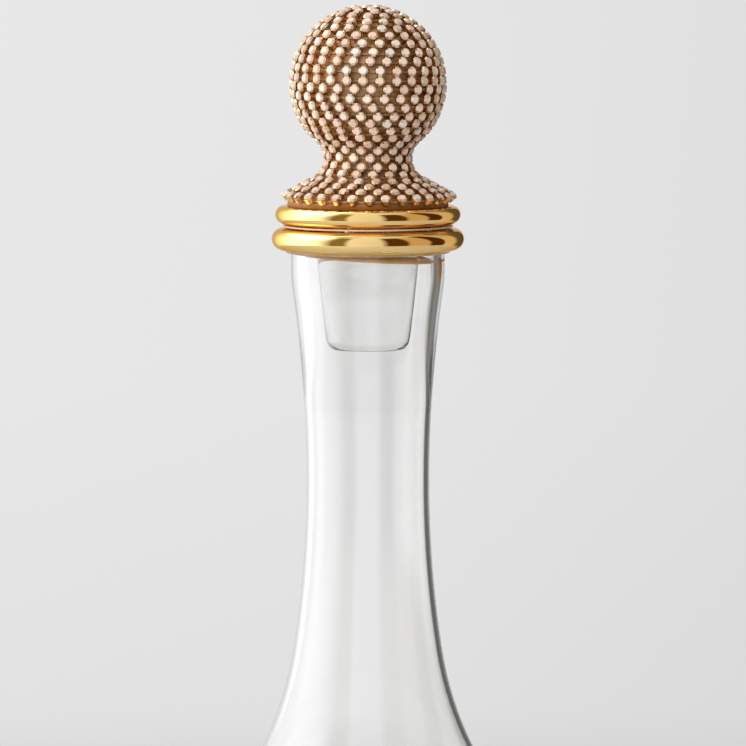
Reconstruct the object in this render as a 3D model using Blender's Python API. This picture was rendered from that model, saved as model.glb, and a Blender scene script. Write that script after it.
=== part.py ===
"""Clear glass decanter with two gold rings at its mouth and a jewelled ball stopper.

Every piece is turned round the Z axis, apart from the crystal chain, which is one
tube wound round the finial. Metres, +Z up, standing on Z = 0.
"""
import math

import bmesh
import bpy

SEGMENTS = 40  # flats round each turned piece
SEAT_GAP = 0.0003  # between two pieces that rest on or fit into each other

# Glass bottle, outside, from the foot up
FOOT_RADIUS = 0.044
FOOT_RIM_WIDTH = 0.014  # flat ring that the bottle stands on
PUNT_DEPTH = 0.0025  # hollow under the base
BELLY_RADIUS = 0.069
BELLY_HEIGHT = 0.034
SHOULDER_TILT = math.radians(52)  # steepest lean of the shoulder
SHOULDER_ARC = 0.086
ROOT_TILT = math.radians(9)  # lean where the shoulder runs into the neck
ROOT_ARC = 0.277
NECK_RADIUS = 0.0157
FLARE_ARC = 0.340
LIP_ARC = 0.040
LIP_RADIUS = 0.0196
LIP_LENGTH = 0.0087
RIM_CHAMFER = 0.0005

# Glass bottle, inside
WALL = 0.0019
LIP_WALL = 0.0034
BASE_THICKNESS = 0.0075
FLOOR_INSET = 0.010  # how much smaller the flat inner floor is than the foot

# Gold ring cemented over the lip
COLLAR_HEIGHT = 0.0056
COLLAR_OVERHANG = 0.0046  # ring's outer edge beyond its socket for the lip
COLLAR_FLANGE = 0.0014  # metal above the glass rim
FLANGE_STEP = 0.0003  # flange edge inside the glass bore

# Clear seal ring between the two gold rings
SEAL_THICKNESS = 0.0005
SEAL_INSET = 0.0028  # seal's edge inside the collar's edge
SEAL_BORE_MARGIN = 0.0008

# Gold ring of the stopper
RING_HEIGHT = 0.0046
RING_INSET = 0.0009  # ring's edge inside the collar's edge
RING_WEB = 0.0023

# Clear plug
PLUG_LENGTH = 0.0313  # below the stopper's ring
MOUTH_CLEARANCE = 0.0011
TIP_CLEARANCE = 0.0049
TIP_ROUND = 0.0024

# Screw that clamps ring and finial, with its lock washer
SCREW_RADIUS = 0.0020
SCREW_LENGTH = 0.014
HEAD_RADIUS = 0.0037
HEAD_HEIGHT = 0.0024
SOCKET_RADIUS = 0.0015
SOCKET_DEPTH = 0.0013
WASHER_WIDTH = 0.0013
WASHER_THICKNESS = 0.0008
POCKET_CLEARANCE = 0.0007  # round and below the screw head, in the plug
BORE_RUNOUT = 0.0010

# Metal finial core under the crystals
BALL_RADIUS = 0.0177
NAPE_ARC = 0.0080  # hollow between ball and waist
WAIST_RADIUS = 0.0087
SKIRT_ARC = 0.0074  # hollow between waist and skirt
SKIRT_TILT = math.radians(62)
SKIRT_INSET = 0.0012  # crystals' edge inside the ring's edge
EDGE_ROUND = 0.0005
EDGE_LAND = 0.0008
CROWN_RADIUS = 0.0015  # stud that the chain starts round

# Crystal chain, wound down the finial from the crown
CHAIN_RADIUS = 0.00105
CHAIN_LOOPS = 24
CHAIN_POINTS_PER_LOOP = 24
CHAIN_START = 0.0034  # from the crown's middle to the first loop


def swing(start, tilt, radius, steps):
    """Points (r, z, tilt) of an arc that goes on from start until it leans by tilt."""
    r0, z0, tilt0 = start
    way = 1 if tilt > tilt0 else -1
    points = []
    for step in range(1, steps + 1):
        t = tilt0 + (tilt - tilt0) * step / steps
        r = r0 - way * radius * (math.cos(tilt0) - math.cos(t))
        z = z0 + way * radius * (math.sin(t) - math.sin(tilt0))
        points.append((r, z, t))
    return points


def quarter(low, high, steps):
    """Quarter ellipse from low, where it lies flat, to high, where it stands upright."""
    width, height = high[0] - low[0], high[1] - low[1]
    angles = [math.pi / 2 * step / steps for step in range(steps + 1)]
    return [(low[0] + width * math.sin(a), high[1] - height * math.cos(a)) for a in angles]


def half_round(middle_radius, low, high, steps):
    """Bulging edge from the low flat to the high flat, as an arc outside middle_radius."""
    bulge = (high - low) / 2
    angles = [math.pi * (step / steps - 0.5) for step in range(steps + 1)]
    return [(middle_radius + bulge * math.cos(a), low + bulge + bulge * math.sin(a)) for a in angles]


def glass_outside():
    """Outer wall above the belly, each point with its lean, and the height of the waist."""
    fall = BELLY_RADIUS - NECK_RADIUS
    fall -= SHOULDER_ARC * (math.cos(ROOT_TILT) - math.cos(SHOULDER_TILT))
    fall -= ROOT_ARC * (1 - math.cos(ROOT_TILT))
    belly_arc = fall / (1 - math.cos(SHOULDER_TILT))
    flare_tilt = -math.acos(1 - (LIP_RADIUS - NECK_RADIUS) / (FLARE_ARC + LIP_ARC))
    wall = [(BELLY_RADIUS, BELLY_HEIGHT, 0.0)]
    wall += swing(wall[-1], SHOULDER_TILT, belly_arc, 5)
    wall += swing(wall[-1], ROOT_TILT, SHOULDER_ARC, 5)
    wall += swing(wall[-1], 0.0, ROOT_ARC, 3)
    waist_height = wall[-1][1]
    wall += swing(wall[-1], flare_tilt, FLARE_ARC, 4)
    wall += swing(wall[-1], 0.0, LIP_ARC, 2)
    r, z, _ = wall[-1]
    wall.append((r, z + LIP_LENGTH, 0.0))
    return wall, waist_height


def glass_inside(outside, waist_height):
    """Inner wall above the belly: the outer one moved in, by more towards the lip."""
    flare_height = outside[-2][1] - waist_height
    wall = []
    for r, z, tilt in outside:
        share = min(max((z - waist_height) / flare_height, 0.0), 1.0)
        thickness = WALL + (LIP_WALL - WALL) * share * share * (3 - 2 * share)
        wall.append((r - thickness * math.cos(tilt), z - thickness * math.sin(tilt)))
    return wall


def radius_at(outline, height):
    """Radius of an outline, whose points run upwards, at a height."""
    for (r0, z0), (r1, z1) in zip(outline, outline[1:]):
        if z0 <= height <= z1:
            return r0 + (r1 - r0) * (height - z0) / (z1 - z0)
    return outline[-1][0]


GLASS_OUTSIDE, WAIST_HEIGHT = glass_outside()
GLASS_INSIDE = glass_inside(GLASS_OUTSIDE, WAIST_HEIGHT)

# Heights of the stack at the mouth, from the glass rim up
RIM_HEIGHT = GLASS_OUTSIDE[-1][1]
COLLAR_TOP = RIM_HEIGHT + SEAT_GAP + COLLAR_FLANGE
COLLAR_BOTTOM = COLLAR_TOP - COLLAR_HEIGHT
SEAL_BOTTOM = COLLAR_TOP + SEAT_GAP
RING_BOTTOM = SEAL_BOTTOM + SEAL_THICKNESS + SEAT_GAP
WEB_BOTTOM = RING_BOTTOM + RING_HEIGHT - RING_WEB
PLUG_TOP = WEB_BOTTOM - SEAT_GAP
PLUG_TIP = RING_BOTTOM - PLUG_LENGTH
FINIAL_BOTTOM = RING_BOTTOM + RING_HEIGHT + SEAT_GAP
WASHER_BOTTOM = WEB_BOTTOM - SEAT_GAP - WASHER_THICKNESS
HEAD_TOP = WASHER_BOTTOM - SEAT_GAP
HEAD_BOTTOM = HEAD_TOP - HEAD_HEIGHT
SCREW_TIP = HEAD_TOP + SCREW_LENGTH

# Radii that fit over and into one another
MOUTH_BORE = LIP_RADIUS - LIP_WALL
COLLAR_SOCKET = LIP_RADIUS + SEAT_GAP
COLLAR_BORE = MOUTH_BORE - FLANGE_STEP
COLLAR_RADIUS = COLLAR_SOCKET + COLLAR_OVERHANG
SEAL_RADIUS = COLLAR_RADIUS - SEAL_INSET
SEAL_BORE = MOUTH_BORE + SEAL_BORE_MARGIN
RING_RADIUS = COLLAR_RADIUS - RING_INSET
SCREW_HOLE = SCREW_RADIUS + SEAT_GAP
PLUG_TIP_RADIUS = radius_at(GLASS_INSIDE, PLUG_TIP) - TIP_CLEARANCE
PLUG_RIM_RADIUS = MOUTH_BORE - MOUTH_CLEARANCE
PLUG_SLOPE = (PLUG_RIM_RADIUS - PLUG_TIP_RADIUS) / (RIM_HEIGHT - PLUG_TIP)
PLUG_HEAD_RADIUS = PLUG_TIP_RADIUS + PLUG_SLOPE * PLUG_LENGTH
CHAIN_STAND_OFF = SEAT_GAP + CHAIN_RADIUS
SKIRT_RADIUS = RING_RADIUS - SKIRT_INSET - CHAIN_RADIUS - CHAIN_STAND_OFF


def finial_outline(stand_off, ball_steps, arc_steps):
    """Finial from the skirt's edge up to the crown, (r, z) above its underside."""
    lean = 1 - math.cos(SKIRT_TILT)
    slope_width = SKIRT_RADIUS - WAIST_RADIUS - (EDGE_ROUND + SKIRT_ARC) * lean
    slope_height = slope_width / math.tan(SKIRT_TILT)
    nape_tilt = -math.acos((WAIST_RADIUS + NAPE_ARC) / (BALL_RADIUS + NAPE_ARC))
    points = [(SKIRT_RADIUS + stand_off, 0.0, 0.0), (SKIRT_RADIUS + stand_off, EDGE_LAND, 0.0)]
    points += swing(points[-1], SKIRT_TILT, EDGE_ROUND + stand_off, max(arc_steps // 2, 2))
    r, z, tilt = points[-1]
    points.append((r - slope_width, z + slope_height, tilt))
    points += swing(points[-1], 0.0, SKIRT_ARC - stand_off, arc_steps)
    points += swing(points[-1], nape_tilt, NAPE_ARC - stand_off, arc_steps)
    points += swing(points[-1], math.pi / 2, BALL_RADIUS + stand_off, ball_steps)
    return [(r, z) for r, z, _ in points]


def chain_path():
    """Points of the wound chain, from its start at the crown to its end at the skirt."""
    route = finial_outline(CHAIN_STAND_OFF, ball_steps=60, arc_steps=16)[::-1]
    lengths = [0.0]
    for (r0, z0), (r1, z1) in zip(route, route[1:]):
        lengths.append(lengths[-1] + math.hypot(r1 - r0, z1 - z0))
    lengths_by_height = [(s, z) for s, (_, z) in zip(lengths, route)]
    end = max(s for s, z in lengths_by_height if z >= CHAIN_RADIUS)
    steps = CHAIN_LOOPS * CHAIN_POINTS_PER_LOOP
    path = []
    for step in range(steps + 1):
        along = CHAIN_START + (end - CHAIN_START) * step / steps
        i = max(k for k, s in enumerate(lengths[:-1]) if s <= along)
        share = (along - lengths[i]) / (lengths[i + 1] - lengths[i])
        r = route[i][0] + (route[i + 1][0] - route[i][0]) * share
        z = route[i][1] + (route[i + 1][1] - route[i][1]) * share
        turn = 2 * math.pi * step / CHAIN_POINTS_PER_LOOP
        path.append((r * math.cos(turn), r * math.sin(turn), z))
    return path


def least_gap(path):
    """Least gap between one loop and the next, from the path's points and stretches."""
    gap = math.inf
    for i, p in enumerate(path):
        first = i + CHAIN_POINTS_PER_LOOP * 3 // 4
        for a, b in zip(path[first:], path[first + 1:first + CHAIN_POINTS_PER_LOOP]):
            stretch = [b[k] - a[k] for k in range(3)]
            share = sum((p[k] - a[k]) * stretch[k] for k in range(3))
            share = min(max(share / sum(c * c for c in stretch), 0.0), 1.0)
            gap = min(gap, math.dist(p, [a[k] + stretch[k] * share for k in range(3)]))
    return gap - 2 * CHAIN_RADIUS


def clear_scene():
    for piece in list(bpy.data.objects):
        bpy.data.objects.remove(piece)


def material(name, colour, roughness, metallic=0.0, transmission=0.0):
    finish = bpy.data.materials.new(name)
    finish.use_nodes = True
    shader = finish.node_tree.nodes["Principled BSDF"]
    shader.inputs["Base Color"].default_value = (*colour, 1.0)
    shader.inputs["Roughness"].default_value = roughness
    shader.inputs["Metallic"].default_value = metallic
    shader.inputs["Transmission Weight"].default_value = transmission
    return finish


def add(name, data, finish, height, parent=None):
    """New object with its own finish, standing at a height on the axis."""
    piece = bpy.data.objects.new(name, data)
    piece.data.materials.append(finish)
    bpy.context.scene.collection.objects.link(piece)
    piece.parent = parent
    piece.location.z = height - (parent.location.z if parent else 0.0)
    return piece


def turned(name, outline, closed, sides=SEGMENTS):
    """Mesh of an outline (r, z) spun once round Z; an open one ends on the axis."""
    bm = bmesh.new()
    points = [bm.verts.new((r, 0.0, z)) for r, z in outline]
    edges = [bm.edges.new(pair) for pair in zip(points, points[1:])]
    if closed:
        edges.append(bm.edges.new((points[-1], points[0])))
    bmesh.ops.spin(bm, geom=points + edges, cent=(0, 0, 0), axis=(0, 0, 1),
                   angle=2 * math.pi, steps=sides, use_merge=True)
    bmesh.ops.remove_doubles(bm, verts=bm.verts, dist=1e-6)
    bmesh.ops.recalc_face_normals(bm, faces=bm.faces)
    mesh = bpy.data.meshes.new(name)
    bm.to_mesh(mesh)
    bm.free()
    mesh.shade_smooth()
    mesh.set_sharp_from_angle(angle=math.radians(35))
    return mesh


def glass_bottle(finish):
    """Blown bottle: one shell from the hollow under its base round to its inner floor."""
    punt_radius = FOOT_RADIUS - FOOT_RIM_WIDTH
    punt = [(punt_radius * k / 3, PUNT_DEPTH * (1 - (k / 3) ** 2)) for k in range(4)]
    heel = quarter((FOOT_RADIUS, 0.0), (BELLY_RADIUS, BELLY_HEIGHT), 6)
    outer = [(r, z) for r, z, _ in GLASS_OUTSIDE[1:]]
    rim_outer, rim_inner = outer.pop(), GLASS_INSIDE[-1]
    rim = [
        (rim_outer[0], RIM_HEIGHT - RIM_CHAMFER),
        (rim_outer[0] - RIM_CHAMFER, RIM_HEIGHT),
        (rim_inner[0] + RIM_CHAMFER, RIM_HEIGHT),
        (rim_inner[0], RIM_HEIGHT - RIM_CHAMFER),
    ]
    inner = GLASS_INSIDE[-2:0:-1]
    floor = (FOOT_RADIUS - FLOOR_INSET, BASE_THICKNESS)
    bowl = quarter(floor, (BELLY_RADIUS - WALL, BELLY_HEIGHT), 6)[::-1]
    outline = punt + heel + outer + rim + inner + bowl + [(0.0, BASE_THICKNESS)]
    return add("glass_bottle", turned("glass_bottle", outline, closed=False), finish, 0.0)


def neck_collar(finish):
    """Gold ring with a socket for the lip and a thin flange over the rim."""
    edge = half_round(COLLAR_RADIUS - COLLAR_HEIGHT / 2, 0.0, COLLAR_HEIGHT, 8)
    socket_top = RIM_HEIGHT + SEAT_GAP - COLLAR_BOTTOM
    inside = [
        (COLLAR_BORE, COLLAR_HEIGHT),
        (COLLAR_BORE, socket_top),
        (COLLAR_SOCKET, socket_top),
        (COLLAR_SOCKET, 0.0),
    ]
    mesh = turned("neck_collar", edge + inside, closed=True)
    return add("neck_collar", mesh, finish, COLLAR_BOTTOM)


def seal_ring(finish, parent):
    """Flat clear washer that lies on the collar."""
    outline = [
        (SEAL_BORE, 0.0),
        (SEAL_RADIUS, 0.0),
        (SEAL_RADIUS, SEAL_THICKNESS),
        (SEAL_BORE, SEAL_THICKNESS),
    ]
    return add("seal_ring", turned("seal_ring", outline, closed=True), finish, SEAL_BOTTOM, parent)


def base_ring(finish, parent):
    """Gold ring of the stopper: a recess below for the plug, a web above with a hole."""
    edge = half_round(RING_RADIUS - RING_HEIGHT / 2, 0.0, RING_HEIGHT, 8)
    recess = PLUG_HEAD_RADIUS + SEAT_GAP
    roof = RING_HEIGHT - RING_WEB
    inside = [(SCREW_HOLE, RING_HEIGHT), (SCREW_HOLE, roof), (recess, roof), (recess, 0.0)]
    return add("base_ring", turned("base_ring", edge + inside, closed=True), finish, RING_BOTTOM, parent)


def glass_plug(finish, parent):
    """Clear tapered plug, its head in the ring's recess, with a pocket for the screw head."""
    taper = math.atan(PLUG_SLOPE)
    top = PLUG_TOP - PLUG_TIP
    pocket_radius = HEAD_RADIUS + POCKET_CLEARANCE
    pocket_floor = HEAD_BOTTOM - POCKET_CLEARANCE - PLUG_TIP
    corner_reach = TIP_ROUND * math.tan(math.pi / 4 - taper / 2)
    middle = (PLUG_TIP_RADIUS - corner_reach, TIP_ROUND)
    turns = [-math.pi / 2 + (math.pi / 2 - taper) * k / 4 for k in range(5)]
    corner = [(middle[0] + TIP_ROUND * math.cos(t), middle[1] + TIP_ROUND * math.sin(t)) for t in turns]
    outline = [(0.0, 0.0)] + corner + [
        (PLUG_HEAD_RADIUS, PLUG_LENGTH),
        (PLUG_HEAD_RADIUS, top),
        (pocket_radius, top),
        (pocket_radius, pocket_floor),
        (0.0, pocket_floor),
    ]
    return add("glass_plug", turned("glass_plug", outline, closed=False), finish, PLUG_TIP, parent)


def lock_washer(finish, parent):
    """Plain turned washer between the screw head and the ring's web."""
    outer = SCREW_HOLE + WASHER_WIDTH
    outline = [
        (SCREW_HOLE, 0.0),
        (outer, 0.0),
        (outer, WASHER_THICKNESS),
        (SCREW_HOLE, WASHER_THICKNESS),
    ]
    mesh = turned("lock_washer", outline, closed=True, sides=24)
    return add("lock_washer", mesh, finish, WASHER_BOTTOM, parent)


def finial_screw(finish, parent):
    """Screw from below, with a domed head and a hexagon socket."""
    dome = quarter((0.0, 0.0), (HEAD_RADIUS, HEAD_HEIGHT * 0.6), 4)
    shank = [
        (HEAD_RADIUS, HEAD_HEIGHT),
        (SCREW_RADIUS, HEAD_HEIGHT),
        (SCREW_RADIUS, HEAD_HEIGHT + SCREW_LENGTH - SCREW_RADIUS / 2),
        (SCREW_RADIUS / 2, HEAD_HEIGHT + SCREW_LENGTH),
        (0.0, HEAD_HEIGHT + SCREW_LENGTH),
    ]
    mesh = turned("finial_screw", dome + shank, closed=False, sides=24)
    screw = add("finial_screw", mesh, finish, HEAD_BOTTOM, parent)
    bm = bmesh.new()
    bmesh.ops.create_cone(bm, cap_ends=True, segments=6, radius1=SOCKET_RADIUS,
                          radius2=SOCKET_RADIUS, depth=2 * SOCKET_DEPTH)
    cutter_mesh = bpy.data.meshes.new("hexagon_key")
    bm.to_mesh(cutter_mesh)
    bm.free()
    cutter = add("hexagon_key", cutter_mesh, finish, HEAD_BOTTOM, parent)
    cutter.hide_render = True
    cutter.display_type = "WIRE"
    cut = screw.modifiers.new("socket", "BOOLEAN")
    cut.operation = "DIFFERENCE"
    cut.object = cutter
    return screw


def finial_core(finish, parent):
    """Cast metal ball, waist and skirt, with a crown stud and a threaded hole below."""
    outline = finial_outline(0.0, ball_steps=8, arc_steps=3)
    top = outline[-1][1]
    crown_root = top - BALL_RADIUS + math.sqrt(BALL_RADIUS ** 2 - CROWN_RADIUS ** 2)
    crown_top = top + CHAIN_STAND_OFF + CHAIN_RADIUS
    skin = [p for p in outline if p[1] < crown_root or p[0] > CROWN_RADIUS]
    crown = [
        (CROWN_RADIUS, crown_root),
        (CROWN_RADIUS, crown_top - CROWN_RADIUS / 2),
        (CROWN_RADIUS / 2, crown_top),
        (0.0, crown_top),
    ]
    hole_top = SCREW_TIP + BORE_RUNOUT - FINIAL_BOTTOM
    hole = [(0.0, hole_top), (SCREW_HOLE, hole_top), (SCREW_HOLE, 0.0)]
    mesh = turned("finial_core", hole + skin + crown, closed=False, sides=32)
    return add("finial_core", mesh, finish, FINIAL_BOTTOM, parent)


def crystal_chain(finish, parent):
    """Chain of set crystals, as one tube wound round the core."""
    path = chain_path()
    curve = bpy.data.curves.new("crystal_chain", "CURVE")
    curve.dimensions = "3D"
    curve.bevel_depth = CHAIN_RADIUS
    curve.bevel_resolution = 1
    curve.use_fill_caps = True
    spline = curve.splines.new("POLY")
    spline.points.add(len(path) - 1)
    for point, place in zip(spline.points, path):
        point.co = (*place, 1.0)
    print(f"crystal chain: {CHAIN_LOOPS} loops, least gap {least_gap(path) * 1000:.2f} mm")
    return add("crystal_chain", curve, finish, FINIAL_BOTTOM, parent)


def axis_marker(name, parent=None):
    """Empty on the axis where the stopper parts from the collar."""
    marker = bpy.data.objects.new(name, None)
    bpy.context.scene.collection.objects.link(marker)
    marker.parent = parent
    marker.location.z = 0.0 if parent else RING_BOTTOM
    return marker


def build():
    clear_scene()
    clear_glass = material("clear_glass", (0.95, 0.97, 0.97), 0.03, transmission=1.0)
    gold = material("polished_gold", (0.86, 0.56, 0.18), 0.12, metallic=1.0)
    silicone = material("clear_silicone", (0.85, 0.75, 0.68), 0.35, transmission=0.6)
    steel = material("screw_steel", (0.62, 0.61, 0.58), 0.3, metallic=1.0)
    antique = material("antique_gold", (0.42, 0.22, 0.08), 0.35, metallic=1.0)
    crystal = material("set_crystals", (0.90, 0.76, 0.66), 0.15)
    turn = axis_marker("stopper_turn_axis")
    glass_bottle(clear_glass)
    neck_collar(gold)
    seal_ring(silicone, turn)
    base_ring(gold, turn)
    glass_plug(clear_glass, turn)
    lock_washer(steel, turn)
    finial_screw(steel, turn)
    finial_core(antique, turn)
    crystal_chain(crystal, turn)
    print(f"rim at {RIM_HEIGHT * 1000:.1f} mm, stopper parts at {RING_BOTTOM * 1000:.1f} mm")


build()
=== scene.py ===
# %% [markdown]
# # A decanter with a jewelled stopper
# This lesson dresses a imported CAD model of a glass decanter. The bottle has a long neck and
# two gold rings at its mouth, and its ball stopper is wound with a chain of set crystals.
# The CAD model says where each piece is and how far it reaches. The cells below give its fine
# shape and its finish.

# %% Load the frame
import bisect
import math
import random

import bmesh
import bpy
from mathutils import Matrix, Vector


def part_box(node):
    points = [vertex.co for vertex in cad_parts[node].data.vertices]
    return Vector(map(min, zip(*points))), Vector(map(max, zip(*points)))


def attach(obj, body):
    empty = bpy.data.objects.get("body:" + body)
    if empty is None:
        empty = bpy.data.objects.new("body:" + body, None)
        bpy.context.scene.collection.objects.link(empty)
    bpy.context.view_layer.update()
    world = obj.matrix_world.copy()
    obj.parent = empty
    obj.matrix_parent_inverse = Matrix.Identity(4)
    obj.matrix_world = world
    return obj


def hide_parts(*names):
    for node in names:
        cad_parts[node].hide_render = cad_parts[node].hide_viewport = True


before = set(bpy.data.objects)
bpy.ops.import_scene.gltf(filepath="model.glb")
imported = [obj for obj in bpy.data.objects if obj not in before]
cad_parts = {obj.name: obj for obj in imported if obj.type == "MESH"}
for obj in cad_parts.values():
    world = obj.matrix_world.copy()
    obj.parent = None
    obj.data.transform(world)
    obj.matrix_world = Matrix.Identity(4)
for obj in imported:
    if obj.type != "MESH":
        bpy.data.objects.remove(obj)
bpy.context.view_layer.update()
scene = bpy.context.scene
scene.view_settings.view_transform = "Standard"
MM = 0.001


# %% [markdown]
# Every piece but the chain is turned round the Z axis, so three numbers of a CAD node say
# where it belongs: the height of its foot, the height of its head, and its reach from the axis.

# %% Places taken from the CAD
def foot(node):
    """Height of the node's lowest point."""
    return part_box(node)[0].z


def head(node):
    """Height of the node's highest point."""
    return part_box(node)[1].z


def reach(node):
    """Distance of the node's outer edge from the axis."""
    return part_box(node)[1].x


for node in sorted(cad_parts):
    heights = f"{foot(node) / MM:.2f} to {head(node) / MM:.2f} mm"
    print(f"{node}: {heights}, reach {reach(node) / MM:.2f} mm")


# %% [markdown]
# The photograph was taken with a long lens from a little above, so upright lines stay upright
# and the rings show as slim ellipses. A long lens is copied by a camera that stands far away.
# The lens follows from the distance and from the width that the picture takes in at the axis.

# %% Camera
CAMERA_DISTANCE = 1.7
CAMERA_TILT = math.radians(4.8)
PICTURE_WIDTH = 0.1902
PICTURE_CENTRE = Vector((0.00128, 0.0, 0.19594))

camera_data = bpy.data.cameras.new("photo_camera")
camera = bpy.data.objects.new("photo_camera", camera_data)
scene.collection.objects.link(camera)
scene.camera = camera
camera_data.lens = camera_data.sensor_width * CAMERA_DISTANCE / PICTURE_WIDTH
towards_camera = Vector((0.0, -math.cos(CAMERA_TILT), math.sin(CAMERA_TILT)))
camera.location = PICTURE_CENTRE + towards_camera * CAMERA_DISTANCE
camera.rotation_euler = towards_camera.to_track_quat("Z", "Y").to_euler()
print(f"lens {camera_data.lens:.0f} mm")


# %% [markdown]
# Node trees are easier to read when each node is made in one line. The first helper makes a
# node, sets its properties and fills or links its inputs: a value is set, and a socket is
# linked. The others are short names for the nodes that are used most.

# %% Node helpers
def put(tree, kind, inputs=None, **settings):
    """New node of a kind in a tree; inputs maps socket names or numbers to values or sockets."""
    node = tree.nodes.new(kind)
    for name, value in settings.items():
        setattr(node, name, value)
    for name, value in (inputs or {}).items():
        if isinstance(value, bpy.types.NodeSocket):
            tree.links.new(value, node.inputs[name])
        else:
            node.inputs[name].default_value = value
    return node


def maths(tree, operation, first, second):
    """Result of a sum, product or comparison of two values."""
    return put(tree, "ShaderNodeMath", {0: first, 1: second}, operation=operation).outputs[0]


def mixed(tree, share, first, second):
    """Colour that goes from the first to the second as share goes from 0 to 1."""
    return put(tree, "ShaderNodeMix", {"Factor": share, 6: first, 7: second},
               data_type="RGBA").outputs[2]


def scaled(tree, colour, factor):
    """Colour multiplied by a number, which may be over 1."""
    return put(tree, "ShaderNodeVectorMath", {0: colour, "Scale": factor},
               operation="SCALE").outputs[0]


def spread(tree, value, span, onto=(0.0, 1.0), easing="LINEAR"):
    """Value carried over from one span onto another, and held at its ends."""
    return put(tree, "ShaderNodeMapRange", {"Value": value, 1: span[0], 2: span[1],
                                            3: onto[0], 4: onto[1]},
               interpolation_type=easing).outputs[0]


def noise(tree, place, scale, detail, roughness=0.5):
    """Cloudy pattern with values from 0 to 1."""
    return put(tree, "ShaderNodeTexNoise", {"Vector": place, "Scale": scale, "Detail": detail,
                                            "Roughness": roughness}).outputs["Fac"]


def ramp(tree, source, stops):
    """Colour from a ramp whose stops are (position, grey value or colour)."""
    node = put(tree, "ShaderNodeValToRGB", {"Fac": source})
    elements = node.color_ramp.elements
    while len(elements) < len(stops):
        elements.new(1.0)
    for element, (position, colour) in zip(elements, stops):
        element.position = position
        element.color = (*(colour if isinstance(colour, tuple) else (colour,) * 3), 1.0)
    return node.outputs["Color"]


# %% [markdown]
# Polished metal and glass have no look of their own: they show the studio round them. Here it
# is one world. Seen directly, or through glass, it is a pale wall. Rays that a surface has
# mirrored meet the studio behind the camera: a big soft light on the left, dark gaps and warm
# dim screens on the right, a light ceiling and a light floor. The table gives it by direction,
# at three heights: level, raised and overhead.

# %% Studio table
PEAK = 3.6
SHADE = (0.27, 0.195, 0.085)
GLOOM = (0.50, 0.40, 0.28)
GAP = (0.10, 0.038, 0.006)
SCREEN = (0.60, 0.43, 0.27)
CORNER = (0.08, 0.028, 0.004)
LEDGE = (0.70, 0.56, 0.43)
NOOK = (0.135, 0.125, 0.112)
STUDIO = [  # degrees from the camera's side, positive to the right; level, raised, overhead
    (-180, 0.78, 0.80, 0.85), (-156, 0.80, 0.85, 0.90), (-138, 1.40, PEAK, 2.60),
    (-122, 1.70, PEAK, 2.60), (-108, 2.40, PEAK, 2.60), (-92, 2.50, PEAK, 2.30),
    (-78, 2.20, PEAK, 1.10), (-68, 1.70, 2.90, GLOOM), (-60, 1.25, 1.60, GLOOM),
    (-53, 0.75, 0.70, GLOOM), (-45, SHADE, SHADE, 0.80), (-30, SHADE, SHADE, 0.95),
    (-23, 0.96, 0.98, 0.95), (16, 0.82, 0.86, 0.95), (25, GAP, GAP, 0.90),
    (48, GAP, GAP, 0.85), (54, SCREEN, SCREEN, 0.80), (79, SCREEN, SCREEN, 0.75),
    (84, CORNER, CORNER, 0.70), (104, CORNER, CORNER, 0.62), (108, LEDGE, LEDGE, 0.55),
    (128, LEDGE, 0.40, 0.50), (137, NOOK, 0.26, 0.50), (163, NOOK, 0.26, 0.60),
    (168, 0.76, 0.76, 0.80), (180, 0.78, 0.80, 0.85),
]
print("studio table:", len(STUDIO), "directions")


# %% [markdown]
# Each column of the table becomes a band of colour round the horizon, and the height of a ray
# blends one band into the next. A ramp takes values up to one, so the bands are divided by the
# brightest value and multiplied by it afterwards.

# %% Studio
LEVEL_TO_RAISED = (0.42, 0.60)
RAISED_TO_OVERHEAD = (0.80, 0.93)
LEVEL_TO_FLOOR = (-0.30, -0.42)
FLOOR_LEVEL = (0.86, 0.70, 0.74)

world = bpy.data.worlds.new("studio")
scene.world = world
world.use_nodes = True
tree = world.node_tree
tree.nodes.clear()
direction = put(tree, "ShaderNodeTexCoord").outputs["Generated"]
ray_x, ray_y, ray_z = put(tree, "ShaderNodeSeparateXYZ", {0: direction}).outputs
azimuth = maths(tree, "ARCTAN2", ray_x, maths(tree, "MULTIPLY", ray_y, -1.0))
turn = spread(tree, azimuth, (-math.pi, math.pi))


def studio_band(column):
    """Colour round the horizon from one column of the studio table."""
    stops = []
    for row in STUDIO:
        level = row[column] if isinstance(row[column], tuple) else (row[column],) * 3
        stops.append((0.5 + row[0] / 360, tuple(part / PEAK for part in level)))
    return scaled(tree, ramp(tree, turn, stops), PEAK)


def blended(span, below, above):
    """Mix of two colours by the height of the ray, over a span of that height."""
    return mixed(tree, spread(tree, ray_z, span, easing="SMOOTHSTEP"), below, above)


studio = blended(LEVEL_TO_RAISED, studio_band(1), studio_band(2))
studio = blended(RAISED_TO_OVERHEAD, studio, studio_band(3))
studio = blended(LEVEL_TO_FLOOR, studio, (*FLOOR_LEVEL, 1.0))
print("studio nodes:", len(tree.nodes))


# %% [markdown]
# The pale wall is a little darker at its foot and towards the right. Thick glass gathers light
# from below, so a ray that has passed through glass finds the foot of the wall brighter.

# %% Pale wall
WALL_SPAN = (-0.14, -0.03)
WALL_HEIGHTS = [(0.0, 0.742), (0.5, 0.785), (1.0, 0.79)]
WALL_REACH = 0.056
WALL_WIDTHS = [(0.0, 1.02), (0.5, 1.0), (1.0, 0.945)]
GATHERED_SPAN = (-0.14, -0.07)
GATHERED_GAIN = (1.13, 0.96)

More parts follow.
